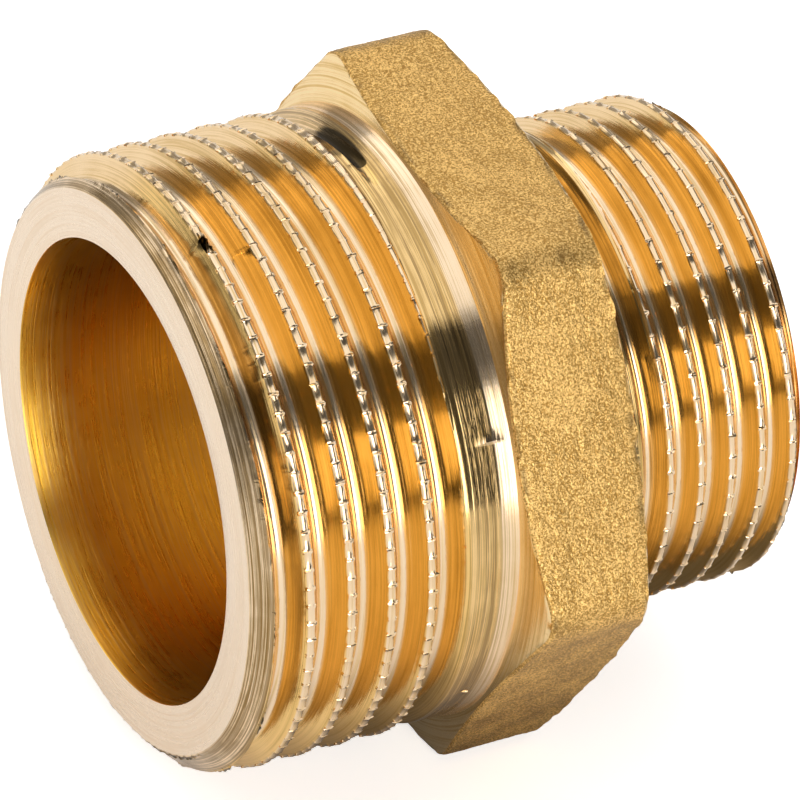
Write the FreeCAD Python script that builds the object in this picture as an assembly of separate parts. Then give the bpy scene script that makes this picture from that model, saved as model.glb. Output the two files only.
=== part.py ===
import FreeCAD, Part
import math
import os

# Reducing hexagon nipple, 1 inch to 3/4 inch, with parallel pipe threads (G1 and G3/4).
# It is one solid piece of brass, written here as the three regions a machinist names:
#   large_threaded_spigot, wrench_hexagon, small_threaded_spigot.
# Frame: millimetres, +X along the bore from the large end to the small end, the origin
# at the centre of the large end face, and one hexagon flat facing straight down (-Z).

Vec = FreeCAD.Vector
CENTRE = Vec(0, 0, 0)
AXIS = Vec(1, 0, 0)

# ---- lengths along the bore, from the large end face ----------------------
TOTAL_LENGTH = 33.6
HEX_START = 14.8
HEX_THICKNESS = 7.1
HEX_END = HEX_START + HEX_THICKNESS

# ---- bores ----------------------------------------------------------------
LARGE_BORE_RADIUS = 12.5
SMALL_BORE_RADIUS = 9.5
BORE_CONE_START = 17.5      # the large bore ends here and a 45 degree cone leads on
BORE_CONE_END = BORE_CONE_START + LARGE_BORE_RADIUS - SMALL_BORE_RADIUS

# ---- hexagon --------------------------------------------------------------
ACROSS_FLATS = 34.0
CORNER_ROUNDING = 2.4       # radius of the forged corner edges
SHOULDER_SLOPE = math.tan(math.radians(16.4))   # turned cones that trim the corners
LARGE_SHOULDER_RADIUS = 16.6    # the cone on the large side starts at this radius
SMALL_SHOULDER_RADIUS = 16.5    # the small side is flat inside this radius

# ---- thread form: 55 degrees, with flat crests and roots -------------------
FLANK_SLOPE = math.tan(math.radians(27.5))
DEPTH_PER_PITCH = 0.640327
FLAT_PER_PITCH = 1.0 - 2 * DEPTH_PER_PITCH * FLANK_SLOPE    # crest flat and root flat together
RELIEF_DEPTH = 0.12         # the necks are turned this far below the crests


class Thread:
    """Sizes of one pipe thread and where its grooves lie.

    Each groove is a closed ring at its true pitch, depth and flank angle. The groove
    beside the hexagon is shallower, because the tool is drawn back out of it.
    """

    def __init__(self, major_radius, pitch, first_groove, grooves, run_out_index, run_out_share):
        self.major_radius = major_radius
        self.neck_radius = major_radius - RELIEF_DEPTH
        self.pitch = pitch
        self.first_groove = first_groove        # middle of the groove nearest the large end
        self.grooves = grooves
        self.run_out_index = run_out_index      # which groove the tool leaves through
        self.run_out_share = run_out_share      # share of the depth that groove keeps

    def groove_corners(self, surface_radius):
        """Corners of every groove, cut into a surface whose radius is surface_radius(x)."""
        corners = []
        root_half = FLAT_PER_PITCH * self.pitch / 4
        for i in range(self.grooves):
            middle = self.first_groove + self.pitch * i
            share = self.run_out_share if i == self.run_out_index else 1.0
            floor = self.major_radius - DEPTH_PER_PITCH * self.pitch * share
            near = side_where_flank_ends(middle, -1, root_half, floor, surface_radius)
            far = side_where_flank_ends(middle, 1, root_half, floor, surface_radius)
            corners += [near, (middle - root_half, floor), (middle + root_half, floor), far]
        return corners


def side_where_flank_ends(middle, side, root_half, floor, surface_radius):
    """Point where a groove's straight flank comes out through the blank's surface."""
    low = 0.0
    high = 3.0
    for _ in range(60):
        rise = (low + high) / 2
        x = middle + side * (root_half + rise * FLANK_SLOPE)
        if floor + rise < surface_radius(x):
            low = rise
        else:
            high = rise
    return (middle + side * (root_half + low * FLANK_SLOPE), floor + low)


LARGE_THREAD = Thread(16.6245, 2.309, 1.535, 6, 5, 0.45)
LARGE_CHAMFER = 1.42        # 45 degree lead-in at the free end
LARGE_RELIEF_START = 11.7

SMALL_THREAD = Thread(13.2205, 1.814, 24.456, 5, 0, 0.8)
SMALL_CHAMFER = 0.72
SMALL_RELIEF_END = 25.3


def large_surface(x):
    """Outer radius of the large spigot's blank at the length x."""
    if x < LARGE_CHAMFER:
        return LARGE_THREAD.major_radius - LARGE_CHAMFER + x
    return LARGE_THREAD.major_radius if x < LARGE_RELIEF_START else LARGE_THREAD.neck_radius


def small_surface(x):
    """Outer radius of the small spigot's blank at the length x."""
    from_end = TOTAL_LENGTH - x
    if from_end < SMALL_CHAMFER:
        return SMALL_THREAD.major_radius - SMALL_CHAMFER + from_end
    return SMALL_THREAD.major_radius if x > SMALL_RELIEF_END else SMALL_THREAD.neck_radius


def turned(profile):
    """Solid of revolution about the bore axis from its (x, radius) corners."""
    points = [Vec(x, radius, 0) for x, radius in profile]
    face = Part.Face(Part.makePolygon(points + points[:1]))
    return face.revolve(CENTRE, AXIS, 360)


def large_threaded_spigot():
    """Male G1 thread, its relief neck, and the mouth of the large bore."""
    crest = LARGE_THREAD.major_radius
    neck = LARGE_THREAD.neck_radius
    grooves = LARGE_THREAD.groove_corners(large_surface)
    relief = [(LARGE_RELIEF_START, crest), (LARGE_RELIEF_START + RELIEF_DEPTH, neck)]
    outside = [(0, crest - LARGE_CHAMFER)] + sorted(grooves + relief)
    return turned(outside + [(HEX_START, neck), (HEX_START, LARGE_BORE_RADIUS), (0, LARGE_BORE_RADIUS)])


def small_threaded_spigot():
    """Male G3/4 thread, its relief neck, and the mouth of the small bore."""
    crest = SMALL_THREAD.major_radius
    neck = SMALL_THREAD.neck_radius
    grooves = SMALL_THREAD.groove_corners(small_surface)
    nose = [(TOTAL_LENGTH - SMALL_CHAMFER, crest), (TOTAL_LENGTH, crest - SMALL_CHAMFER)]
    bore = [(TOTAL_LENGTH, SMALL_BORE_RADIUS), (HEX_END, SMALL_BORE_RADIUS)]
    return turned([(HEX_END, neck)] + grooves + nose + bore)


def wrench_hexagon():
    """Forged hexagon with rounded corners, turned on both sides, and the bore's cone."""
    corner = ACROSS_FLATS / 2 / math.cos(math.pi / 6)
    ring = [math.radians(60 * i) for i in range(7)]
    outline = Part.makePolygon([Vec(HEX_START, corner * math.cos(a), corner * math.sin(a)) for a in ring])
    prism = Part.Face(outline).extrude(AXIS * HEX_THICKNESS)
    long_edges = [e for e in prism.Edges if abs(e.tangentAt(e.FirstParameter).x) > 0.99]
    prism = prism.makeFillet(CORNER_ROUNDING, long_edges)
    envelope = turned([
        (HEX_START, LARGE_BORE_RADIUS),
        (HEX_START, LARGE_SHOULDER_RADIUS),
        (HEX_START + (corner - LARGE_SHOULDER_RADIUS) * SHOULDER_SLOPE, corner),
        (HEX_END - (corner - SMALL_SHOULDER_RADIUS) * SHOULDER_SLOPE, corner),
        (HEX_END, SMALL_SHOULDER_RADIUS),
        (HEX_END, SMALL_BORE_RADIUS),
        (BORE_CONE_END, SMALL_BORE_RADIUS),
        (BORE_CONE_START, LARGE_BORE_RADIUS),
    ])
    return prism.common(envelope)


NODES = [large_threaded_spigot, wrench_hexagon, small_threaded_spigot]


def main():
    os.makedirs("parts", exist_ok=True)
    for make in NODES:
        shape = make()
        name = make.__name__
        shape.exportStep("parts/" + name + ".step")
        print(name, len(shape.Solids), "solid, sound:", shape.isValid(), round(shape.Volume, 1), "mm3")


main()
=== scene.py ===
"""Reducing hexagon nipple in brass: threads, knurled crests, forged hexagon and the studio.

The nipple lies along X with the centre of its large end face at the origin and one flat of the
hexagon on the floor. Sizes in the classes are millimetres; meshes are made in metres.
An angle is measured about +X, from +Y towards +Z.
"""

import logging
import math
from dataclasses import dataclass
from enum import Enum
from functools import reduce
from typing import Any, Sequence

import bpy
import numpy as np
from mathutils import Matrix, Vector


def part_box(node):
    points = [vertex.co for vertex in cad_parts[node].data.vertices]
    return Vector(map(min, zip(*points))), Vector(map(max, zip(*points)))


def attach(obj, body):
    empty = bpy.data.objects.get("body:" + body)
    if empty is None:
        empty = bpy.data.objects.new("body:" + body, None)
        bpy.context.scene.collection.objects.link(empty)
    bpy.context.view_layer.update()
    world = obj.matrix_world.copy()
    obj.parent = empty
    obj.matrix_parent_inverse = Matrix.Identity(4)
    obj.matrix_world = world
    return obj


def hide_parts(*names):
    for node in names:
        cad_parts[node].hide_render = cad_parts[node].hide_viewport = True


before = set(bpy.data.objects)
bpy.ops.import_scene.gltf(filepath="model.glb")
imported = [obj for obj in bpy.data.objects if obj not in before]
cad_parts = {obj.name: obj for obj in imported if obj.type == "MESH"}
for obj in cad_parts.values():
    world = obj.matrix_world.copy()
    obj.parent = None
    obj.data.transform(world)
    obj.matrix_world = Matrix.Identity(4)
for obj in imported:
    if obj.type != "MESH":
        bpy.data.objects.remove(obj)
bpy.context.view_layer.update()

MM = 0.001
FULL_TURN = 2.0 * math.pi
SECTOR = math.pi / 3.0          # from one corner of the hexagon to the next
NICK_DRAWS = 997                # how many different nicks are drawn before they repeat
LOG = logging.getLogger("hex_nipple")

Grid = np.ndarray               # a whole array of values
Colour = tuple[float, float, float]
Spans = tuple[tuple[float, float], ...]


# ---- shader bench

class Wire:
    """A shader value that can be used in ordinary arithmetic."""

    def __init__(self, bench: "Bench", socket: bpy.types.NodeSocket) -> None:
        """Keep the output socket and the bench that owns it."""
        self.bench = bench
        self.socket = socket

    def __add__(self, other: Any) -> "Wire":
        """Sum of this value and another."""
        return self.bench.math("ADD", self, other)

    __radd__ = __add__

    def __sub__(self, other: Any) -> "Wire":
        """This value less another."""
        return self.bench.math("SUBTRACT", self, other)

    def __rsub__(self, other: Any) -> "Wire":
        """Another value less this one."""
        return self.bench.math("SUBTRACT", other, self)

    def __mul__(self, other: Any) -> "Wire":
        """Product of this value and another."""
        return self.bench.math("MULTIPLY", self, other)

    __rmul__ = __mul__

    def __pow__(self, power: Any) -> "Wire":
        """This value raised to a power."""
        return self.bench.math("POWER", self, power)

    def rising(self, low: float, high: float) -> "Wire":
        """Smooth step of this value.

        Args:
            low: value at which the step starts from 0.
            high: value at which the step reaches 1.

        Returns:
            The stepped value, from 0 to 1.
        """
        return self.bench.wire(
            "ShaderNodeMapRange", {"interpolation_type": "SMOOTHSTEP", "clamp": True},
            {"Value": self, "From Min": low, "From Max": high, "To Min": 0.0, "To Max": 1.0},
            "Result")

    def inside(self, low_mm: float, high_mm: float, soft_mm: float) -> "Wire":
        """Whether this length lies in a span.

        Args:
            low_mm: start of the span.
            high_mm: end of the span.
            soft_mm: half the width of the blend at each end.

        Returns:
            1 inside the span and 0 outside it, with smooth steps between.
        """
        return (self.rising((low_mm - soft_mm) * MM, (low_mm + soft_mm) * MM)
                * self.rising((high_mm + soft_mm) * MM, (high_mm - soft_mm) * MM))


class Bench:
    """Places nodes in one material's or world's tree and joins them up."""

    def __init__(self, tree: bpy.types.NodeTree) -> None:
        """Start from an empty tree."""
        self.tree = tree
        tree.nodes.clear()

    def node(self, kind: str, settings: dict[str, Any] | None = None,
             sockets: dict[Any, Any] | None = None) -> bpy.types.Node:
        """Add a node, set its options, then fill its sockets.

        Args:
            kind: the node's type name.
            settings: options set before the sockets are filled.
            sockets: input name or number to a value or a Wire.

        Returns:
            The new node.
        """
        node = self.tree.nodes.new(kind)
        for key, value in (settings or {}).items():
            setattr(node, key, value)
        for key, value in (sockets or {}).items():
            target = node.inputs[key]
            if isinstance(value, Wire):
                self.tree.links.new(value.socket, target)
            else:
                target.default_value = value
        return node

    def wire(self, kind: str, settings: dict[str, Any] | None = None,
             sockets: dict[Any, Any] | None = None, output: Any = 0) -> Wire:
        """Add a node as node() does, and take the output of this name or number."""
        return Wire(self, self.node(kind, settings, sockets).outputs[output])

    def math(self, operation: str, *values: Any) -> Wire:
        """Add a Math node.

        Args:
            operation: the node's operation.
            values: numbers or wires, in socket order.

        Returns:
            The node's result.
        """
        return self.wire("ShaderNodeMath", {"operation": operation}, dict(enumerate(values)))

    def most(self, *values: Any) -> Any:
        """Greatest of some values; a start of 0 alone stays a number."""
        return reduce(lambda first, second: self.math("MAXIMUM", first, second), values)

    def metal(self, base: Wire, roughness: Wire, normal: Wire) -> Wire:
        """Metal shader.

        Args:
            base: its colour.
            roughness: its roughness.
            normal: its bumped normal.

        Returns:
            The finished shader.
        """
        return self.wire("ShaderNodeBsdfPrincipled", None, {
            "Base Color": base, "Metallic": 1.0, "Roughness": roughness, "Normal": normal})

    def noise(self, vector: Wire, scale: float, detail: float, roughness: float) -> Wire:
        """Add a Noise Texture.

        Args:
            vector: where the pattern is read.
            scale: cells per unit of the vector.
            detail: octaves.
            roughness: weight of the finer octaves.

        Returns:
            The noise, from 0 to 1 around 0.5.
        """
        return self.wire("ShaderNodeTexNoise", None, {
            "Vector": vector, "Scale": scale, "Detail": detail, "Roughness": roughness})

    def blend(self, factor: Any, first: Any, second: Any, how: str = "MIX") -> Wire:
        """Mix two colours.

        Args:
            factor: 0 gives the first, 1 the second.
            first: a colour, or a wire that carries one.
            second: a colour, or a wire that carries one.
            how: the blend type.

        Returns:
            The mixed colour.
        """
        return self.wire("ShaderNodeMix", {"data_type": "RGBA", "blend_type": how},
                         {0: factor, 6: first, 7: second}, 2)

    def parts(self, vector: Wire) -> tuple[Wire, Wire, Wire]:
        """The three parts of a vector."""
        split = self.node("ShaderNodeSeparateXYZ", None, {0: vector})
        return tuple(Wire(self, output) for output in split.outputs)

    def position(self) -> tuple[Wire, Wire, Wire, Wire]:
        """Object coordinates, as the whole vector and its three parts."""
        place = self.wire("ShaderNodeTexCoord", output="Object")
        return (place, *self.parts(place))

    def wear_and_light(self) -> tuple[Wire, Wire, Wire]:
        """The piece's own wear_and_light attribute: torn_and_dark_reflection, tarnish_and_shade and
        painted_sheen, each from 0 to 1.
        """
        return self.parts(self.wire("ShaderNodeAttribute", {"attribute_name": "wear_and_light"},
                                    output="Vector"))

    def vector(self, x: Any, y: Any, z: Any) -> Wire:
        """Vector from three values."""
        return self.wire("ShaderNodeCombineXYZ", None, {0: x, 1: y, 2: z})

    def bump(self, height: Wire, depth_mm: float, under: Wire | None = None) -> Wire:
        """Raise a surface by a height.

        Args:
            height: the relief, from 0 to 1.
            depth_mm: real depth of the relief.
            under: a normal that is already bumped.

        Returns:
            The bumped normal.
        """
        sockets = {"Strength": 1.0, "Distance": depth_mm * MM, "Height": height}
        if under is not None:
            sockets["Normal"] = under
        return self.wire("ShaderNodeBump", None, sockets)


# ---- finishes

@dataclass(frozen=True)
class Finish:
    """A surface finish that can make its material."""

    name: str
    colour: Colour

    def material(self) -> bpy.types.Material:
        """Material with this finish.

        Returns:
            The new material.
        """
        material = bpy.data.materials.new(self.name)
        material.use_nodes = True
        material.diffuse_color = (*self.colour, 1.0)
        bench = Bench(material.node_tree)
        shader = self.shader(bench)
        bench.node("ShaderNodeOutputMaterial", None, {"Surface": shader})
        return material

    def shader(self, bench: Bench) -> Wire:
        """Shader of this finish, built on the bench."""
        raise NotImplementedError


@dataclass(frozen=True)
class TurnedBrass(Finish):
    """Brass off the lathe: bright, with fine rings left by the tool."""

    deep: Colour = (0.74, 0.46, 0.13)
    # pale brass of rubbed crests, of painted highlights and of the painted sheen
    pale: Colour = (0.97, 0.745, 0.50)
    stained: Colour = (0.31, 0.19, 0.07)
    # black of torn metal, and of the painted dark reflection on the tool marks
    torn_and_reflection_black: Colour = (0.07, 0.045, 0.015)
    roughness_low: float = 0.07
    roughness_high: float = 0.20
    pale_roughness: float = 0.07    # added where the brass is painted pale
    ring_mm: float = 0.20
    ring_depth_mm: float = 0.008
    cone_lean: float = 1.2          # how much a step in radius counts beside a step along the axis
    coarse_depth: float = 2.2       # extra depth of the rings on the coarse spans
    line_weight: float = 0.8        # how dark the ring lines are there
    span_soft_mm: float = 0.1
    rub_soft_mm: float = 0.05
    coarse: Spans = ()              # spans of x with deeper rings
    rubbed_and_highlight: Spans = ()              # radii between which it is painted pale: rubbed crests and a painted highlight along the roots
    pale_spans: Spans = ()           # spans of x that are painted pale

    def shader(self, bench: Bench) -> Wire:
        """Rings that run round the axis: noise that is fast along x and radius, slow around.

        Args:
            bench: where the nodes are placed.

        Returns:
            The finished shader.
        """
        _, x, y, z = bench.position()
        radius = (y * y + z * z) ** 0.5
        along = (x + radius * self.cone_lean) * (1.0 / (self.ring_mm * MM))
        rings = bench.noise(bench.vector(along, y * 90.0, z * 90.0), 1.0, 4.0, 0.65)
        broad = bench.noise(bench.vector(along * 0.16, y * 160.0, z * 160.0), 1.0, 3.0, 0.5)
        cloud = bench.noise(bench.vector(x * 420.0, y * 420.0, z * 420.0), 1.0, 3.0, 0.6)
        hair = bench.noise(bench.vector(along * 2.2, y * 45.0, z * 45.0), 1.0, 2.0, 0.6)
        tint = (broad * 0.1 + cloud * 0.1 + rings * 0.45 + hair * 0.35).rising(0.44, 0.63)
        base = bench.blend(tint, (*self.colour, 1.0), (*self.deep, 1.0))
        # painted pale: rubbed crests, a painted highlight along the roots, and the pale spans
        pale = bench.most(0.0, *(radius.inside(*span, self.rub_soft_mm) for span in self.rubbed_and_highlight),
                          *(x.inside(*span, self.span_soft_mm) for span in self.pale_spans))
        spans = bench.most(0.0, *(x.inside(*span, self.span_soft_mm) for span in self.coarse))
        torn_and_dark_reflection, tarnish_and_shade, painted_sheen = bench.wear_and_light()
        # the painted sheen, a paler strip, is painted pale as well
        pale = bench.most((1.0 - tint * 0.6) * pale, painted_sheen * (1.0 - tint * 0.7))
        base = bench.blend(pale, base, (*self.pale, 1.0))
        stain = (hair * 0.45 + rings * 0.55 + (cloud - 0.5) * 0.15).rising(0.44, 0.58) * tarnish_and_shade
        base = bench.blend(stain, base, (*self.stained, 1.0))
        lines = rings.rising(0.52, 0.42) * spans * self.line_weight
        base = bench.blend(lines, base, (*self.stained, 1.0))
        # black where metal is torn, and painted dark reflection on the tool marks
        black = (torn_and_dark_reflection * 1.3 - hair * 0.9).rising(0.0, 0.35)
        base = bench.blend(black, base, (*self.torn_and_reflection_black, 1.0))
        worn = (rings * 0.6 + cloud * 0.4).rising(0.3, 0.75)
        roughness = (worn * (self.roughness_high - self.roughness_low) + self.roughness_low
                     + pale * self.pale_roughness)
        fine = bench.bump(rings + rings * spans * self.coarse_depth, self.ring_depth_mm)
        normal = bench.bump(broad, self.ring_depth_mm * 1.5, fine)
        return bench.metal(base, roughness, normal)


@dataclass(frozen=True)
class BlastedBrass(Finish):
    """Forged brass after blasting: a fine pebbled grain with small bright facets."""

    dark: Colour = (0.46, 0.25, 0.06)
    corner_shade: Colour = (0.20, 0.12, 0.04)
    chipped: Colour = (0.10, 0.07, 0.04)
    grain_mm: float = 0.14
    grain_depth_mm: float = 0.045

    def shader(self, bench: Bench) -> Wire:
        """Two sizes of pebble for the relief, and darker hollows between the facets.

        Args:
            bench: where the nodes are placed.

        Returns:
            The finished shader.
        """
        place, *_ = bench.position()
        grain = bench.noise(place, 1.0 / (self.grain_mm * MM), 2.0, 0.6)
        speckle = bench.noise(place, 1.6 / (self.grain_mm * MM), 1.0, 0.5)
        patch = bench.noise(place, 420.0, 3.0, 0.6)
        hollow = (grain * 0.42 + speckle * 0.42 + patch * 0.16).rising(0.60, 0.42)
        base = bench.blend(hollow, (*self.colour, 1.0), (*self.dark, 1.0))
        torn_and_dark_reflection, tarnish_and_shade, _ = bench.wear_and_light()
        # painted shade at the hexagon's corners
        base = bench.blend(tarnish_and_shade * (0.35 + hollow * 0.65), base, (*self.corner_shade, 1.0))
        base = bench.blend(torn_and_dark_reflection, base, (*self.chipped, 1.0))
        roughness = patch.rising(0.3, 0.7) * 0.12 + 0.40
        normal = bench.bump(grain, self.grain_depth_mm)
        return bench.metal(base, roughness, normal)


@dataclass(frozen=True)
class PaleTable(Finish):
    """Pale matt table top that glows a little, as if lit from below, with a painted shadow close
    under the nipple.
    """

    glow: float = 0.16          # how much the lit table adds to what the brass sees
    seen_glow: float = 0.62     # and to what the camera sees
    shade: float = 0.22         # painted shadow: what is left of the colour and glow close under the nipple
    mottled: Colour = (0.86, 0.86, 0.86)
    middle_x: float = 0.0185    # metres, middle of the painted shadow under the nipple
    shade_across: tuple[float, float] = (0.008, 0.023)      # metres, where the painted shadow ends in Y
    shade_along: tuple[float, float] = (0.009, 0.020)       # and in X

    def shader(self, bench: Bench) -> Wire:
        """Matt white with a faint mottling, burnt out a little to the camera; close under the
        nipple a painted shadow darkens its colour and glow for all but camera rays.

        Args:
            bench: where the nodes are placed.

        Returns:
            The finished shader.
        """
        place, x, y, _ = bench.position()
        mottle = bench.noise(place, 6.0, 4.0, 0.5)
        base = bench.blend(mottle, (*self.colour, 1.0), (*self.mottled, 1.0))
        seen = bench.wire("ShaderNodeLightPath", output="Is Camera Ray")
        # painted shadow under the nipple, left out for camera rays
        clear = bench.most(bench.math("ABSOLUTE", y).rising(*self.shade_across),
                           bench.math("ABSOLUTE", x - self.middle_x).rising(*self.shade_along))
        left = bench.most(clear * (1.0 - self.shade) + self.shade, seen)
        base = bench.blend(1.0, base, bench.vector(left, left, left), "MULTIPLY")
        glow = bench.blend(seen, (*(self.glow,) * 3, 1.0), (*(self.seen_glow,) * 3, 1.0))
        glow = bench.blend(1.0, glow, bench.vector(left, left, left), "MULTIPLY")
        return bench.wire("ShaderNodeBsdfPrincipled", None, {
            "Base Color": base, "Roughness": 0.75, "Emission Color": glow,
            "Emission Strength": 1.0, "Specular IOR Level": 0.1})


# ---- shared shapes

def tone(values: Grid, low: float, high: float) -> Grid:
    """Straight ramp clipped to 0..1.

    Args:
        values: numbers of any shape.
        low: value that gives 0.
        high: value that gives 1.

    Returns:
        (value - low) / (high - low), clipped.
    """
    return np.clip((values - low) / (high - low), 0.0, 1.0)


def grain_field(rows: int, columns: int, across: float, around: float, seed: int) -> Grid:
    """Smooth random relief that closes round its columns.

    White noise is filtered in the frequency domain by exp(-(f * size)^2) in each direction.

    Args:
        rows: samples along the piece.
        columns: samples round the piece.
        across: size of a lump along the rows, in samples.
        around: size of a lump along the columns, in samples.
        seed: start of the random draws.

    Returns:
        A field with mean 0 and spread 1.
    """
    noise = np.random.default_rng(seed).normal(size=(rows, columns))
    low_pass = np.exp(-((np.fft.fftfreq(rows)[:, None] * across * 2.2) ** 2)
                      - (np.fft.fftfreq(columns)[None, :] * around * 2.2) ** 2)
    relief = np.fft.ifft2(np.fft.fft2(noise) * low_pass).real
    return (relief - relief.mean()) / relief.std()


class Shell:
    """Closed mesh gathered from rings of points and from a threaded band between them."""

    def __init__(self, columns: int) -> None:
        """Start an empty shell.

        Args:
            columns: points in each ring.
        """
        self.columns = columns
        self.points: list[Grid] = []
        self.wear_and_light: list[Grid] = []
        self.count = 0
        self.quads: list[Grid] = []
        self.triangles: list[Grid] = []

    def add_points(self, x: Grid, radius: Grid, angle: Grid,
                   wear_and_light: Grid | None = None) -> Grid:
        """Add points given in (x, radius, angle).

        Each point is (x, radius cos angle, radius sin angle), scaled to metres.

        Args:
            x: lengths along the axis, in millimetres.
            radius: distances from the axis, in millimetres.
            angle: angles about the axis.
            wear_and_light: torn_and_dark_reflection, tarnish_and_shade and painted_sheen of each
                point on a last axis, or None for a clean surface.

        Returns:
            The points' numbers, in the shape of the inputs.
        """
        x, radius, angle = np.broadcast_arrays(x, radius, angle)
        self.wear_and_light.append(np.zeros((x.size, 3)) if wear_and_light is None else wear_and_light.reshape(-1, 3))
        points = np.stack([x, radius * np.cos(angle), radius * np.sin(angle)], -1) * MM
        self.points.append(points.reshape(-1, 3))
        numbers = self.count + np.arange(x.size).reshape(x.shape)
        self.count += x.size
        return numbers

    def join_rings(self, rings: Grid) -> None:
        """Fill the strips between neighbouring rings with faces.

        Args:
            rings: point numbers, one ring to a row; each ring closes on itself.
        """
        after = np.roll(rings, -1, axis=1)
        corners = (rings[:-1], rings[1:], after[1:], after[:-1])
        self.quads.append(np.stack([c.ravel() for c in corners], 1))

    def join_grid(self, grid: Grid) -> None:
        """Fill a grid with faces, where neighbouring points may be one and the same.

        A cell with four different corners is a quad, one with a repeated corner is a triangle,
        and one with less than three is left out.

        Args:
            grid: point numbers; its last column has already been matched to its first.
        """
        cells = np.stack([c.ravel() for c in (grid[:-1, :-1], grid[1:, :-1],
                                              grid[1:, 1:], grid[:-1, 1:])], 1)
        same = cells == np.roll(cells, -1, axis=1)
        repeats = same.sum(1)
        self.quads.append(cells[repeats == 0])
        for corner in range(4):
            chosen = cells[(repeats == 1) & same[:, corner]]
            self.triangles.append(np.delete(chosen, corner, axis=1))

    def mesh(self, name: str) -> bpy.types.Mesh:
        """Make the mesh, with its faces outwards and its unused points left out.

        Args:
            name: the mesh's name.

        Returns:
            The finished mesh.
        """
        points = np.concatenate(self.points)
        quads = np.concatenate(self.quads)
        triangles = np.concatenate(self.triangles) if self.triangles else np.empty((0, 3), int)
        used, compact = np.unique(np.concatenate([quads.ravel(), triangles.ravel()]),
                                  return_inverse=True)
        points = points[used]
        quads, triangles = (compact[:quads.size].reshape(-1, 4),
                            compact[quads.size:].reshape(-1, 3))
        flat = np.concatenate([quads[:, :3], quads[:, [0, 2, 3]], triangles])
        a, b, c = (points[flat[:, i]] for i in range(3))
        if np.einsum("ij,ij->", a, np.cross(b, c)) < 0:
            quads, triangles = quads[:, ::-1], triangles[:, ::-1]
        mesh = bpy.data.meshes.new(name)
        mesh.from_pydata(points, [], quads.tolist() + triangles.tolist())
        held = mesh.attributes.new("wear_and_light", "FLOAT_VECTOR", "POINT")
        held.data.foreach_set("vector", np.concatenate(self.wear_and_light)[used].astype(np.float32).ravel())
        mesh.update()
        return mesh


def dress(mesh: bpy.types.Mesh, materials: Sequence[bpy.types.Material], sharp_degrees: float,
          choice: Grid | None = None) -> bpy.types.Object:
    """Shade a mesh and make it an object.

    Args:
        mesh: the finished mesh.
        materials: its materials, in slot order.
        sharp_degrees: edges that turn by more than this are kept sharp.
        choice: material slot of each face, or None for the first everywhere.

    Returns:
        The object, at the origin.
    """
    for material in materials:
        mesh.materials.append(material)
    if choice is not None:
        mesh.polygons.foreach_set("material_index", choice.astype(np.int32))
    mesh.shade_smooth()
    mesh.set_sharp_from_angle(angle=math.radians(sharp_degrees))
    piece = bpy.data.objects.new(mesh.name, mesh)
    bpy.context.scene.collection.objects.link(piece)
    return piece


# ---- threads

class FreeEnd(Enum):
    """Which end of a spigot is open to the pipe."""

    LOW_X = -1
    HIGH_X = 1


@dataclass(frozen=True)
class ThreadForm:
    """Right-hand pipe thread of 55 degrees with rounded roots and flat crests."""

    major_radius: float
    pitch: float
    groove_at: float            # middle of a groove where the angle is 0
    full_until: float           # grooves keep their full depth up to here
    gone_by: float              # and have run out here
    run_out_power: float = 1.5
    half_angle: float = math.radians(27.5)
    root_per_pitch: float = 0.177
    apex_per_pitch: float = 0.820
    crown: float = 0.045        # crests are this much lower at their edges than in the middle
    crest_per_pitch: float = 0.0731     # half the width of a crest

    def groove_middle(self, x: Grid, angle: Grid) -> Grid:
        """Middle of the nearest groove: groove_at + pitch * (whole number + angle / full turn)."""
        start = self.groove_at + self.pitch * angle / FULL_TURN
        return start + self.pitch * np.round((x - start) / self.pitch)

    def share(self, middle: Grid) -> Grid:
        """Share of its full depth that a groove keeps: a ramp to a power at the run-out."""
        return tone(middle, self.gone_by, self.full_until) ** self.run_out_power

    def radius(self, x: Grid, angle: Grid, limit: Grid) -> Grid:
        """Radius of the threaded surface.

        Across a groove, with t the distance from its middle, the radius is the root arc where
        t < root cos(half angle) and the straight flank apex + t / tan(half angle) beyond it.
        The groove is lifted where the tool runs out, and the limit cuts off the crest.

        Args:
            x: lengths along the axis.
            angle: angles about the axis.
            limit: radius of the blank that the thread is cut into.

        Returns:
            The radius at each point.
        """
        root = self.root_per_pitch * self.pitch
        apex = self.major_radius - self.apex_per_pitch * self.pitch
        centre = apex + root / math.sin(self.half_angle)
        middle = self.groove_middle(x, angle)
        t = np.abs(x - middle)
        arc = centre - np.sqrt(np.maximum(root ** 2 - t ** 2, 0.0))
        flank = apex + t / math.tan(self.half_angle)
        groove = np.where(t < root * math.cos(self.half_angle), arc, flank)
        lift = (1.0 - self.share(middle)) * (self.major_radius - centre + root)
        from_crest = (0.5 - t / self.pitch) / self.crest_per_pitch
        crowned = self.crown * np.clip(from_crest, 0.0, 1.0) ** 2 * (lift < 0.02)
        return np.minimum(limit - crowned, groove + lift)

    def root_radius(self) -> float:
        """Radius at the bottom of a full groove.

        Returns:
            The radius, the root arc's lowest point.
        """
        root = self.root_per_pitch * self.pitch
        apex = self.major_radius - self.apex_per_pitch * self.pitch
        return apex + root / math.sin(self.half_angle) - root

    def row_steps(self) -> Grid:
        """Where the rows of points lie across one pitch, as shares from a groove's middle."""
        side = np.array([0.085, 0.157, 0.186, 0.378, 0.400, 0.4269, 0.458])
        return np.sort(np.concatenate([[0.0, 0.5], side, 1.0 - side]))


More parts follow.
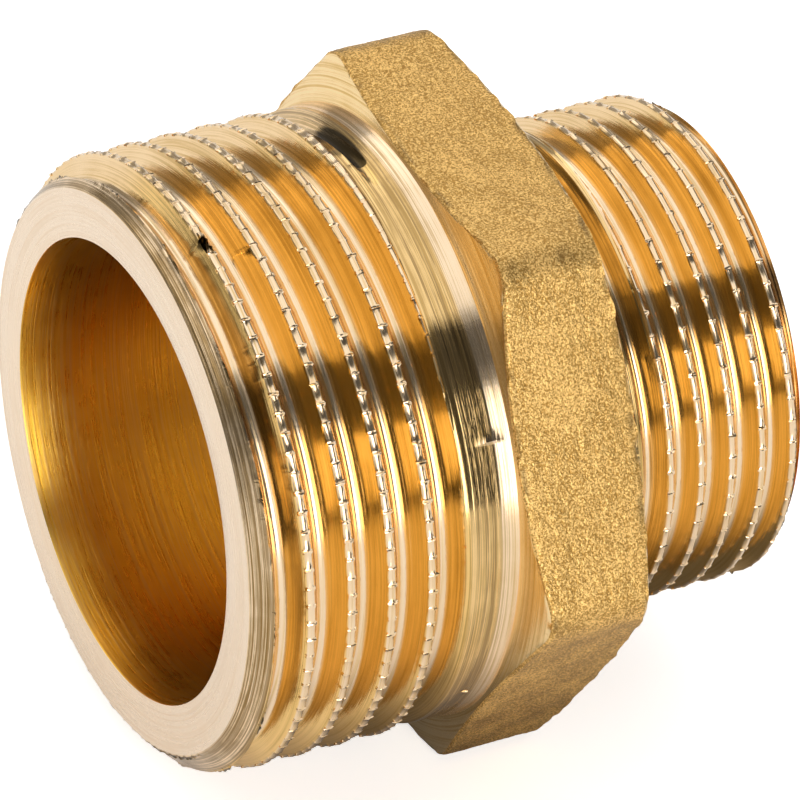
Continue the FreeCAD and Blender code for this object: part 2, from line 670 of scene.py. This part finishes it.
@dataclass(frozen=True)
class Knurl:
    """Straight nicks rolled across the thread's crests, with a burr thrown up at each side."""

    count: int
    first_angle: float
    nick_depth: float = 0.07
    bead_height: float = 0.034
    bead_spread: float = 0.105
    bead_half: float = 0.125    # half the length of a bead round the crest
    valley_half: float = 0.05   # half the length of the nick
    strengths: tuple[float, float] = (0.5, 1.3)
    lean: float = 0.03          # nicks stray this far from the middle of their beads
    plate: float = 0.006        # unevenness of the crest between two nicks
    rough_height: float = 0.014
    rough_shift: float = 0.012
    beside: tuple[float, ...] = (0.0, 0.050, 0.105, 0.165)  # columns on each side of a nick
    seed: int = 1

    def column_angles(self, radius: float) -> Grid:
        """Angles of the columns of points: eight to a nick, closer beside it.

        Args:
            radius: radius of the crests, which turns millimetres into an angle.

        Returns:
            The angles, rising from the first nick through one full turn.
        """
        period = FULL_TURN / self.count
        near = np.array(self.beside) / radius
        cell = np.concatenate([near, [period / 2], period - near[:0:-1]])
        return (self.first_angle + period * np.arange(self.count)[:, None] + cell).ravel()

    def relief(self, x: Grid, angle: Grid, form: ThreadForm) -> tuple[Grid, Grid]:
        """Nicks and burrs on the crests.

        With u the distance round the crest from the nearest nick, the height is the bead
        exp(-(u / bead_half)^4) with a V nick across its middle; the bead also spreads sideways.

        Args:
            x: lengths along the axis.
            angle: angles about the axis.
            form: the thread that is knurled.

        Returns:
            The rise of each point and its shift along the axis.
        """
        turns = (angle - self.first_angle) / FULL_TURN * self.count
        nick = np.round(turns)
        u = (turns - nick) * FULL_TURN / self.count * form.major_radius
        middle = form.groove_middle(x, angle)
        t = x - middle
        crest = form.pitch / 2 - np.abs(t)
        on_crest = tone(crest, 0.095 * form.pitch, 0.083 * form.pitch)
        draws = np.random.default_rng(self.seed)
        number = (nick.astype(int) + 7 * np.round(middle / form.pitch).astype(int)) % NICK_DRAWS
        strength = draws.uniform(*self.strengths, NICK_DRAWS)[number]
        lean = draws.uniform(-self.lean, self.lean, NICK_DRAWS)[number]
        plate = draws.normal(0.0, self.plate, NICK_DRAWS)[(number + 311) % NICK_DRAWS]
        ragged = draws.normal(0.0, 1.0, x.shape)
        valley = np.clip(1.0 - np.abs(u + lean) / self.valley_half, 0.0, 1.0)
        bead = np.exp(-(u / self.bead_half) ** 4)
        rise = strength * (self.bead_height * bead - self.nick_depth * valley)
        rise = (rise + plate * (1 - bead) + self.rough_height * ragged * bead) * on_crest
        at_side = tone(np.abs(t), 0.47 * form.pitch, 0.425 * form.pitch)
        shift = (np.sign(t) * -self.bead_spread * at_side * strength
                 + self.rough_shift * ragged) * bead * on_crest
        return rise, shift


@dataclass(frozen=True)
class Burr:
    """Torn spot left by the tool: ragged metal that stands up or is pulled out."""

    x: float
    angle: float                # degrees
    size: float                 # along the axis
    length: float               # round the axis
    height: float
    ragged: float

    def relief(self, x: Grid, angle: Grid, radius: float, draws: np.random.Generator) -> Grid:
        """Rise of the surface near the spot.

        With d the distance from the spot in units of its size, the rise is exp(-d^4) times the
        height and a random part.

        Args:
            x: lengths along the axis.
            angle: angles about the axis.
            radius: turns an angle into a distance.
            draws: source of the random part.

        Returns:
            The rise at each point.
        """
        uneven = self.height + self.ragged * draws.normal(size=x.shape)
        return self.near(x, angle, radius) * uneven

    def near(self, x: Grid, angle: Grid, radius: float) -> Grid:
        """Closeness to the spot: exp(-d^4), with d the distance in units of its size.

        Args:
            x: lengths along the axis.
            angle: angles about the axis.
            radius: turns an angle into a distance.

        Returns:
            1 at the spot, falling to 0.
        """
        turn = np.angle(np.exp(1j * (angle - math.radians(self.angle))))
        along, round_it = (x - self.x) / self.size, turn * radius / self.length
        return np.exp(-((along ** 2 + round_it ** 2) ** 2))


@dataclass(frozen=True)
class ToolMarkReflection:
    """Ringed patch where the threading tool was drawn out, painted dark for the dark reflection of
    its tilted surface.
    """

    low_x: float
    high_x: float
    fades_in: float             # degrees
    full_from: float
    ends: float
    soft: float = 0.08          # millimetres

    def share(self, x: Grid, degrees: Grid) -> Grid:
        """How much of the mark lies at each point.

        Args:
            x: lengths along the axis.
            degrees: angles about the axis, from 0 to 360.

        Returns:
            The mark's share, from 0 to 1.
        """
        across = (tone(x, self.low_x - self.soft, self.low_x)
                  * tone(x, self.high_x + self.soft, self.high_x))
        return across * tone(degrees, self.fades_in, self.full_from) * (degrees < self.ends)


@dataclass
class ThreadedSpigot:
    """One threaded end of the nipple, a closed shell from the hexagon to the open end."""

    node: str
    end: FreeEnd
    form: ThreadForm
    knurl: Knurl
    hex_at: float               # plane where the spigot meets the hexagon
    open_at: float              # plane of the open end
    chamfer: float
    bore_radius: float
    relief_at: float            # the neck between here and the hexagon is turned down
    relief_depth: float = 0.12
    fillet_length: float = 1.0  # the neck swells towards the hexagon over this length
    fillet_rise: float = 0.12
    bore_chamfer: float = 0.12
    rim_round: float = 0.10
    burrs: tuple[Burr, ...] = ()
    tool_mark_reflections: tuple[ToolMarkReflection, ...] = ()
    ridge_burr: float = 0.20    # height of the crumbs where the chamfer cuts the thread
    ridge_reach: float = 0.07
    top_at: float = 84.0        # degrees, where the tarnish is strongest
    top_spread: float = 22.0
    top_tarnish: float = 0.4
    painted_sheen_at: float = 58.0      # degrees, middle of the painted sheen, a paler strip
    painted_sheen_spread: float = 17.0
    painted_sheen_most: float = 0.6
    snap: float = 0.02          # rows this close to a ring are gathered onto it
    chamfer_rows: int = 13
    coarse: tuple[tuple[float, float], ...] = ()
    pale_spans: tuple[tuple[float, float], ...] = ()

    def blank(self, x: Grid) -> Grid:
        """Radius of the blank: crest, less the relief, plus the swelling beside the hexagon.

        Args:
            x: lengths along the axis.

        Returns:
            The radius at each length.
        """
        toward_end = float(self.end.value)
        from_relief = (self.relief_at - x) * toward_end
        neck = self.relief_depth * tone(from_relief, 0.0, 0.12)
        from_hex = (x - self.hex_at) * toward_end
        swell = self.fillet_rise * tone(from_hex, self.fillet_length, 0.0)
        return self.form.major_radius - neck + swell

    def limit(self, x: Grid) -> Grid:
        """Radius of the blank with the 45 degree chamfer cut at its open end."""
        from_end = (self.open_at - x) * float(self.end.value)
        return np.minimum(self.blank(x), self.form.major_radius - self.chamfer + from_end)

    def knurled(self, x: Grid) -> Grid:
        """Share of the knurl that is left: none on the relief and little on the chamfer.

        Args:
            x: lengths along the axis.

        Returns:
            The share at each length, from 0 to 1.
        """
        toward_end = float(self.end.value)
        clear_of_relief = tone((x - self.relief_at) * toward_end, -0.1, 0.1)
        from_end = (self.open_at - x) * toward_end
        return clear_of_relief * tone(from_end, 0.75 * self.chamfer, 1.1 * self.chamfer)

    def outside(self, x: Grid, angle: Grid) -> tuple[Grid, Grid, Grid]:
        """Outer surface.

        Args:
            x: lengths along the axis.
            angle: angles about the axis.

        Returns:
            The shifted lengths, the radii and the wear_and_light.
        """
        limit = self.limit(x)
        radius = self.form.radius(x, angle, limit)
        rise, shift = self.knurl.relief(x, angle, self.form)
        left = self.knurled(x)
        draws = np.random.default_rng(self.knurl.seed + 50)
        blank = self.blank(x)
        uncut = self.form.radius(x, angle, blank)
        on_edge = np.exp(-((limit - uncut) / self.ridge_reach) ** 2) * (blank - limit > 0.05)
        ragged = draws.random(x.shape)
        crumbs = self.ridge_burr * on_edge * ragged ** 2
        torn_and_dark_reflection = on_edge * tone(ragged, 0.3, 0.8)
        for burr in self.burrs:
            crumbs = crumbs + burr.relief(x, angle, self.form.major_radius, draws)
            if burr.height < 0.0:
                torn_and_dark_reflection = np.maximum(torn_and_dark_reflection, 1.2 * burr.near(x, angle, self.form.major_radius))
        return x + shift * left, radius + rise * left + crumbs, self.worn(x, angle, limit, torn_and_dark_reflection)

    def worn(self, x: Grid, angle: Grid, limit: Grid,
             torn_and_dark_reflection: Grid) -> Grid:
        """Wear and painted light of the outer surface.

        Tarnish is exp(-d^2) with d the angle from the top in units of its spread, and full on the
        chamfer; the painted sheen, a paler strip, is exp(-d^4) about its own angle.

        Args:
            x: lengths along the axis.
            angle: angles about the axis.
            limit: radius of the blank with its chamfer.
            torn_and_dark_reflection: ripped metal so far.

        Returns:
            Torn metal with the painted dark reflection of the tool marks, tarnish_and_shade and
            painted_sheen on a last axis.
        """
        degrees = np.degrees(angle) % 360.0
        # painted dark reflection where the threading tool was drawn out
        for mark in self.tool_mark_reflections:
            torn_and_dark_reflection = np.maximum(torn_and_dark_reflection, mark.share(x, degrees))
        top = np.exp(-((degrees - self.top_at) / self.top_spread) ** 2)
        chamfered = tone(limit, self.form.major_radius, self.form.major_radius - 0.3)
        tarnish_and_shade = np.clip(self.top_tarnish * top + chamfered, 0.0, 1.0)
        # painted sheen: a paler strip about a fixed angle round the spigot
        painted_sheen = self.painted_sheen_most * np.exp(-((degrees - self.painted_sheen_at) / self.painted_sheen_spread) ** 4)
        return np.stack(np.broadcast_arrays(torn_and_dark_reflection, tarnish_and_shade, painted_sheen), -1)

    def band(self, shell: Shell, low: float, high: float, angles: Grid,
             low_ring: Grid, high_ring: Grid) -> None:
        """Fill the surface between two rings with rows that follow the helix.

        Row number i lies at x = groove_at + pitch * (turn + step + angle / full turn). Rows that
        pass a ring are gathered onto it, and the last column joins the first one pitch on.

        Args:
            shell: the mesh being gathered.
            low: x of the first ring.
            high: x of the second ring.
            angles: angles of the columns.
            low_ring: the first ring's point numbers.
            high_ring: the second ring's point numbers.
        """
        form = self.form
        steps = form.row_steps()
        first = math.floor((low - form.groove_at) / form.pitch) - 3
        last = math.ceil((high - form.groove_at) / form.pitch) + 2
        starts = form.groove_at + form.pitch * (np.arange(first, last)[:, None] + steps).ravel()
        x = starts[:, None] + form.pitch * angles / FULL_TURN
        moved, radius, wear_and_light = self.outside(x, np.broadcast_to(angles, x.shape))
        numbers = shell.add_points(moved, radius, angles, wear_and_light)
        numbers = np.where(x >= high - self.snap, high_ring, numbers)
        numbers = np.where(x <= low + self.snap, low_ring, numbers)
        turned_on = np.concatenate([numbers[len(steps):, 0], np.full(len(steps), high_ring[0])])
        shell.join_grid(np.concatenate([numbers, turned_on[:, None]], 1))

    def build(self) -> bpy.types.Object:
        """Build the spigot, dress it and hand it to the frame.

        Returns:
            The finished object.
        """
        toward_end = float(self.end.value)
        angles = self.knurl.column_angles(self.form.major_radius)
        shell = Shell(len(angles))
        neck_x = self.hex_at
        edge_x = self.open_at - toward_end * self.chamfer
        neck = shell.add_points(neck_x, self.blank(np.array(neck_x)), angles)
        moved, radius, wear_and_light = self.outside(np.full_like(angles, edge_x), angles)
        edge = shell.add_points(moved, radius, angles, wear_and_light)
        low, high = sorted(((neck_x, neck), (edge_x, edge)), key=lambda pair: pair[0])
        self.band(shell, low[0], high[0], angles, low[1], high[1])
        shares = np.linspace(0.0, 1.0, self.chamfer_rows + 1)[1:, None]
        slope_x = edge_x + toward_end * (self.chamfer - 0.5 * self.rim_round) * shares
        grid = np.broadcast_arrays(slope_x, angles[None, :])
        moved, radius, wear_and_light = self.outside(*grid)
        slope = shell.add_points(moved, radius, angles, wear_and_light)
        rim = self.form.major_radius - self.chamfer
        bore = self.bore_radius
        lip = self.bore_chamfer
        face_radius = np.array([rim - 0.25 * self.rim_round, rim - self.rim_round, (rim + bore) / 2,
                                bore + lip, bore + 0.3 * lip, bore])
        face_in = np.array([0.15 * self.rim_round, 0.0, 0.0, 0.0, 0.25 * lip, lip])
        face_x = self.open_at - toward_end * face_in
        face = shell.add_points(face_x[:, None], face_radius[:, None], angles)
        bore_x = np.linspace(self.open_at - toward_end * lip, neck_x, 5)[1:]
        inside = shell.add_points(bore_x[:, None], bore, angles)
        shell.join_rings(np.concatenate([edge[None], slope, face, inside, neck[None]]))
        mesh = shell.mesh(self.node + "_turned")
        materials = [finish.material() for finish in self.finishes()]
        piece = dress(mesh, materials, 32.0, self.slots(mesh))
        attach(piece, "root")
        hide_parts(self.node)
        return piece

    def finishes(self) -> tuple[TurnedBrass, ...]:
        """Finishes of the outside, the end face and the bore.

        Returns:
            The finishes, in slot order.
        """
        crest = self.form.major_radius
        root = self.form.root_radius()
        turned = TurnedBrass(
            self.node + "_turned", (0.93, 0.61, 0.225), coarse=self.coarse,
            pale_spans=self.pale_spans,
            # rubbed pale on the crests; painted highlight along the roots
            rubbed_and_highlight=((crest - 0.10, crest + 0.5), (root - 0.5, root + 0.20)))
        # painted sheen: the end face is painted pale, near white, for its bright reflection
        face_sheen = TurnedBrass(
            self.node + "_face_sheen", (0.95, 0.77, 0.58), deep=(0.89, 0.69, 0.49),
            roughness_low=0.22, roughness_high=0.36)
        # painted shade: the bore is given a darker, browner colour
        bore_shade = TurnedBrass(
            self.node + "_bore_shade", (0.80, 0.47, 0.06), roughness_low=0.24, roughness_high=0.38,
            ring_depth_mm=0.016)
        return turned, face_sheen, bore_shade

    def slots(self, mesh: bpy.types.Mesh) -> Grid:
        """Choose each face's slot: 1 on the end face, 2 in the bore and 0 elsewhere.

        Args:
            mesh: the spigot's mesh.

        Returns:
            The slot of each face.
        """
        middles = np.empty(len(mesh.polygons) * 3)
        mesh.polygons.foreach_get("center", middles)
        middles = middles.reshape(-1, 3) / MM
        reach = np.hypot(middles[:, 1], middles[:, 2])
        on_face = (np.abs(middles[:, 0] - self.open_at) < 0.03) & (reach > self.bore_radius)
        in_bore = reach < self.bore_radius + 0.5 * self.bore_chamfer
        return np.where(on_face, 1, np.where(in_bore, 2, 0))


# ---- hexagon

@dataclass
class WrenchHexagon:
    """Forged hexagon: blasted flats, turned cones on both sides and the cone between the bores."""

    node: str
    low_x: float
    high_x: float
    half_flats: float = 17.0
    corner_rounding: float = 2.4
    low_shoulder: float = 16.62
    high_shoulder: float = 16.5
    low_slope: float = math.tan(math.radians(16.4))
    high_slope: float = math.tan(math.radians(15.5))
    large_bore: float = 12.5
    small_bore: float = 9.5
    cone_from: float = 17.5
    cone_to: float = 20.5
    neck_radius: float = 13.1
    edge_round: float = 0.16
    grain_height: float = 0.010
    swell_height: float = 0.012
    sunk: float = 0.01          # flats lie this much lower, to leave room for their relief
    chip_depth: float = 0.05
    bevel: float = 0.28         # share of edge_round that the middle of the bevel takes
    flat_points: int = 104
    corner_points: int = 16
    flat_rows: int = 46

    def angles(self) -> Grid:
        """Column angles: even along each flat, with extra points round each corner.

        Returns:
            The angles, rising through one full turn.
        """
        reach = self._corner_reach()
        corner = np.linspace(-reach, reach, self.corner_points, endpoint=False)
        edge = self.half_flats * math.tan(SECTOR / 2 - reach)
        along = np.linspace(-edge, edge, self.flat_points, endpoint=False)
        flat = SECTOR / 2 + np.arctan2(along, self.half_flats)
        side = np.concatenate([corner, flat])
        return (np.arange(6)[:, None] * SECTOR + side).ravel()

    def _corner_distance(self) -> float:
        """Distance of a corner arc's centre from the axis."""
        return (self.half_flats - self.corner_rounding) / math.cos(SECTOR / 2)

    def _corner_reach(self) -> float:
        """Angle from a corner to the end of its arc."""
        ends_at = self._corner_distance() + self.corner_rounding * math.cos(SECTOR / 2)
        return math.atan2(self.corner_rounding * 0.5, ends_at)

    def outline(self, angle: Grid) -> Grid:
        """Radius of the rounded hexagon.

        With a the angle from the nearest corner, it is the flat, half_flats / cos(30 deg - a), or
        inside the corner arc, c cos a + sqrt(r^2 - c^2 sin^2 a) with c the arc centre's distance.

        Args:
            angle: angles about the axis.

        Returns:
            The outline's radius at each angle.
        """
        a = np.abs((angle + SECTOR / 2) % SECTOR - SECTOR / 2)
        centre = self._corner_distance()
        rounding = self.corner_rounding
        below = np.maximum(rounding ** 2 - (centre * np.sin(a)) ** 2, 0.0)
        arc = centre * np.cos(a) + np.sqrt(below)
        return np.where(a < self._corner_reach(), arc, self.half_flats / np.cos(SECTOR / 2 - a))

    def flat_relief(self, rows: Grid, angles: Grid) -> tuple[Grid, Grid]:
        """Relief of the six flats, their chipped edges and their painted corner shade.

        The relief is a fine and a broad grain field, weaker at the edges and chipped there;
        painted shade at the corners is exp(-d^2) of the distance d from the nearest corner, in
        patches.

        Args:
            rows: share of the way along each row, as a column.
            angles: angles of the columns.

        Returns:
            The rise of each point, and its chipped metal, painted corner shade and a painted sheen
            of 0.
        """
        columns = len(angles)
        relief = (self.grain_height * grain_field(self.flat_rows, columns, 1.1, 1.4, 3)
                  + self.swell_height * grain_field(self.flat_rows, columns, 16.0, 24.0, 4))
        relief *= tone(np.minimum(rows, 1 - rows), 0.0, 0.06) * 0.7 + 0.3
        from_corner = np.abs((angles + SECTOR / 2) % SECTOR - SECTOR / 2) * self.half_flats
        patches = grain_field(self.flat_rows, columns, 3.0, 6.0, 6)
        # painted shade at the corners, in patches
        painted_corner_shade = np.exp(-(from_corner / 0.7) ** 2) * tone(patches, -1.2, 1.6)
        at_edge = tone(np.minimum(rows, 1 - rows), 0.05, 0.0) * tone(patches, 0.2, 1.4)
        wear_and_light = np.stack(np.broadcast_arrays(0.5 * at_edge, 0.6 * painted_corner_shade, 0.0), -1)
        return relief - self.chip_depth * at_edge, wear_and_light

    def build(self) -> bpy.types.Object:
        """Build the hexagon, dress it and hand it to the frame.

        Returns:
            The finished object.
        """
        angles = self.angles()
        shell = Shell(len(angles))
        outline = self.outline(angles)
        low_edge = self.low_x + (outline - self.low_shoulder) * self.low_slope
        high_edge = self.high_x - (outline - self.high_shoulder) * self.high_slope
        soft = self.edge_round
        shares = np.linspace(0.0, 1.0, 9)[:, None]
        low_radius = self.low_shoulder + (outline - soft - self.low_shoulder) * shares
        low_cone_x = self.low_x + (low_radius - self.low_shoulder) * self.low_slope
        low_cone = shell.add_points(low_cone_x, low_radius, angles)
        rows = np.linspace(0.0, 1.0, self.flat_rows)[:, None]
        x = low_edge + soft + (high_edge - low_edge - 2 * soft) * rows
        relief, wear_and_light = self.flat_relief(rows, angles)
        flats = shell.add_points(x, outline - self.sunk + relief, angles, wear_and_light)
        ragged = 0.04 * grain_field(6, len(angles), 1.0, 3.0, 5)
        bevel = soft * self.bevel
        low_bevel = shell.add_points(
            low_edge + bevel + ragged[:1], outline - bevel + ragged[1:2], angles)
        high_bevel = shell.add_points(
            high_edge - bevel + ragged[2:3], outline - bevel + ragged[3:4], angles)
        high_radius = (outline - soft) + (self.high_shoulder - outline + soft) * shares
        high_cone_x = self.high_x - (high_radius - self.high_shoulder) * self.high_slope
        high_cone = shell.add_points(high_cone_x, high_radius, angles)
        shoulder_radius = np.array([(self.high_shoulder + self.neck_radius) / 2,
                                    self.neck_radius, self.small_bore])
        shoulder = shell.add_points(self.high_x, shoulder_radius[:, None], angles)
        bore_x = np.array([self.cone_to, self.cone_from, self.low_x])
        bore_radius = np.array([self.small_bore, self.large_bore, self.large_bore])
        bore = shell.add_points(bore_x[:, None], bore_radius[:, None], angles)
        shell.join_rings(np.concatenate([low_cone, low_bevel, flats, high_bevel, high_cone,
                                         shoulder, bore, low_cone[:1]]))
        mesh = shell.mesh(self.node + "_forged")
        strips = np.repeat(np.arange(len(mesh.polygons) // len(angles)), len(angles))
        first_blasted = len(low_cone) - 1
        last_blasted = first_blasted + self.flat_rows + 2
        choice = np.where((strips >= first_blasted) & (strips < last_blasted), 0, 1)
        blasted = BlastedBrass("blasted_brass", (1.0, 0.655, 0.235))
        turned = TurnedBrass("turned_shoulder", (1.0, 0.74, 0.38),
                             roughness_low=0.16, roughness_high=0.28)
        materials = [blasted.material(), turned.material()]
        piece = dress(mesh, materials, 40.0, choice)
        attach(piece, "root")
        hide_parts(self.node)
        return piece


# ---- studio

@dataclass(frozen=True)
class Softbox:
    """Rectangular soft light."""

    name: str
    middle: tuple[float, float, float]      # metres
    facing: tuple[float, float, float]
    width: float                            # along X
    height: float
    brightness: float           # 1 makes a white card beside it look white

    def hang(self) -> bpy.types.Object:
        """Hang the light. Its power is pi times its area times its brightness.

        Returns:
            The light's object.
        """
        data = bpy.data.lights.new(self.name, "AREA")
        data.shape = "RECTANGLE"
        data.size = self.width
        data.size_y = self.height
        data.energy = math.pi * self.width * self.height * self.brightness
        lamp = bpy.data.objects.new(self.name, data)
        bpy.context.scene.collection.objects.link(lamp)
        away = -Vector(self.facing)
        turned = away.to_track_quat("Z", "Y").to_matrix().to_4x4()
        lamp.matrix_world = Matrix.Translation(self.middle) @ turned
        lamp.visible_camera = False
        return lamp


@dataclass
class Studio:
    """Pale table, soft lights, surroundings and the camera."""

    table_at: float             # height of the table top, in metres
    table_half: float = 2.5
    lens: float = 412.4
    camera_at: tuple[float, float, float] = (-0.174935, -0.321588, 0.307466)
    camera_aim: tuple[float, float, float] = (0.016446, 0.000199, -0.000012)
    camera_roll: float = 6.681
    dark_side: float = 0.07     # brightness of the surroundings in front and to the right
    left_side: float = 0.24
    back_side: float = 0.36
    right_side: float = 0.15
    wall: Colour = (0.97, 0.97, 0.97)       # what the camera sees behind the nipple
    boxes: tuple[Softbox, ...] = (
        Softbox("above", (-0.22, 0.48, 0.60), (0.0, 0.0, -1.0), 1.83, 1.44, 1.0),
        Softbox("front", (-0.06, -0.80, 0.335), (0.0, 1.0, 0.0), 0.52, 0.69, 3.5),
        Softbox("front_left", (-0.83, -0.80, 0.30), (0.0, 1.0, 0.0), 1.00, 0.60, 0.8),
        Softbox("right", (1.03, -0.80, 0.315), (0.0, 1.0, 0.0), 0.70, 0.51, 1.4),
    )

    def lay_table(self) -> bpy.types.Object:
        """Lay the table: a square of four points at the height the nipple rests on.

        Returns:
            The table.
        """
        half = self.table_half
        corners = np.array([[-half, -half], [half, -half], [half, half], [-half, half]])
        points = np.column_stack([corners, np.full(4, self.table_at)])
        mesh = bpy.data.meshes.new("table")
        mesh.from_pydata(points, [], [(0, 1, 2, 3)])
        table = dress(mesh, [PaleTable("pale_table", (0.93, 0.93, 0.93)).material()], 30.0)
        return table

    def paint_world(self) -> None:
        """Dim surroundings that grow paler behind and to the left; the camera sees a pale wall."""
        world = bpy.data.worlds.new("studio")
        bpy.context.scene.world = world
        world.use_nodes = True
        bench = Bench(world.node_tree)
        x, y, _ = bench.parts(bench.wire("ShaderNodeTexCoord", output="Generated"))
        level = bench.most(y.rising(0.3, 0.8) * self.back_side,
                           (x * -1.0).rising(0.3, 0.8) * self.left_side,
                           x.rising(0.55, 0.8) * self.right_side, self.dark_side)
        seen = bench.wire("ShaderNodeLightPath", output="Is Camera Ray")
        shade = bench.blend(seen, level, (*self.wall, 1.0))
        background = bench.wire("ShaderNodeBackground", None, {"Color": shade, "Strength": 1.0})
        bench.node("ShaderNodeOutputWorld", None, {"Surface": background})

    def set_camera(self) -> bpy.types.Object:
        """Place the camera, aim it and roll it.

        Returns:
            The camera.
        """
        data = bpy.data.cameras.new("camera")
        data.lens = self.lens
        data.sensor_width = 36.0
        data.clip_start = 0.01
        data.clip_end = 20.0
        camera = bpy.data.objects.new("camera", data)
        bpy.context.scene.collection.objects.link(camera)
        place = Vector(self.camera_at)
        facing = (Vector(self.camera_aim) - place).to_track_quat("-Z", "Y").to_matrix().to_4x4()
        roll = Matrix.Rotation(math.radians(self.camera_roll), 4, "Z")
        camera.matrix_world = Matrix.Translation(place) @ facing @ roll
        bpy.context.scene.camera = camera
        return camera

    def build(self) -> None:
        """Set up the whole studio."""
        self.lay_table()
        self.paint_world()
        for box in self.boxes:
            box.hang()
        self.set_camera()
        bpy.context.scene.view_settings.view_transform = "Standard"


# ---- main

def build_nipple() -> list[bpy.types.Object]:
    """Build the three regions of the nipple.

    Returns:
        The finished objects.
    """
    large = ThreadedSpigot(
        node="large_threaded_spigot", end=FreeEnd.LOW_X,
        form=ThreadForm(16.6245, 2.309, 2.970, full_until=12.45, gone_by=12.82, run_out_power=0.7),
        knurl=Knurl(100, math.radians(3.486), seed=11),
        hex_at=14.8, open_at=0.0, chamfer=1.42, bore_radius=12.5, relief_at=11.7,
        coarse=((0.0, 1.3), (12.3, 13.8)),
        # pale at the open end's chamfer; painted highlight on the neck beside the hexagon
        pale_spans=((0.0, 1.0), (13.8, 14.8)),
        # painted dark reflection on the patch where the tool was drawn out
        tool_mark_reflections=(ToolMarkReflection(12.42, 13.15, 64.0, 74.0, 88.0),),
        burrs=(Burr(2.44, 98.0, 0.34, 0.50, -0.22, 0.24), Burr(0.62, 95.0, 0.22, 0.40, 0.06, 0.08),
               Burr(13.6, 147.0, 0.62, 0.10, 0.09, 0.05),
               Burr(13.4, 205.5, 0.22, 0.28, 0.06, 0.05)))
    small = ThreadedSpigot(
        node="small_threaded_spigot", end=FreeEnd.HIGH_X,
        form=ThreadForm(13.2205, 1.814, 23.769, full_until=24.40, gone_by=23.65, run_out_power=1.2),
        knurl=Knurl(66, math.radians(4.577), seed=12),
        hex_at=21.9, open_at=33.6, chamfer=0.72, bore_radius=9.5, relief_at=25.3,
        fillet_rise=0.0, chamfer_rows=9)
    hexagon = WrenchHexagon(node="wrench_hexagon", low_x=14.8, high_x=21.9)
    pieces = [large.build(), hexagon.build(), small.build()]
    for piece in pieces:
        mesh = piece.data
        LOG.info("%s: %d points, %d faces", piece.name, len(mesh.vertices), len(mesh.polygons))
    return pieces


def main() -> None:
    """Build the nipple and its studio."""
    logging.basicConfig(level=logging.INFO, format="%(name)s: %(message)s")
    build_nipple()
    low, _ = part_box("wrench_hexagon")
    Studio(table_at=low.z).build()


if __name__ == "__main__":
    main()
